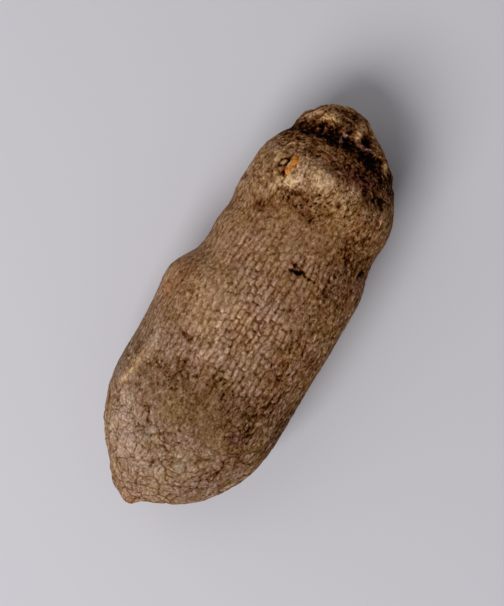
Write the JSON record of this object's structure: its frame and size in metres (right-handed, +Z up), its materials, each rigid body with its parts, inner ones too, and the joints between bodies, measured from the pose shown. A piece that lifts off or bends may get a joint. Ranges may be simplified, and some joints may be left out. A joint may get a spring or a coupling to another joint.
{
  "type": "yam",
  "caption": "Whole yam tuber lying on its side, with a blunt corky crown, a tapered tail ending in a small nub, and cracked brown skin.",
  "frame": {"origin": "on the surface the yam lies on, under the middle of its box", "axes": "+X along the yam's length, from the tail's nub to the crown; +Y to its left side; +Z up, away from the surface it lies on"},
  "size_m": [0.282, 0.1136, 0.0962],
  "materials": {
    "skin": "dry corky skin, cracked into small plates, matt"
  },
  "bodies": {
    "root": {"tuber": "skin"}
  },
  "joints": []
}
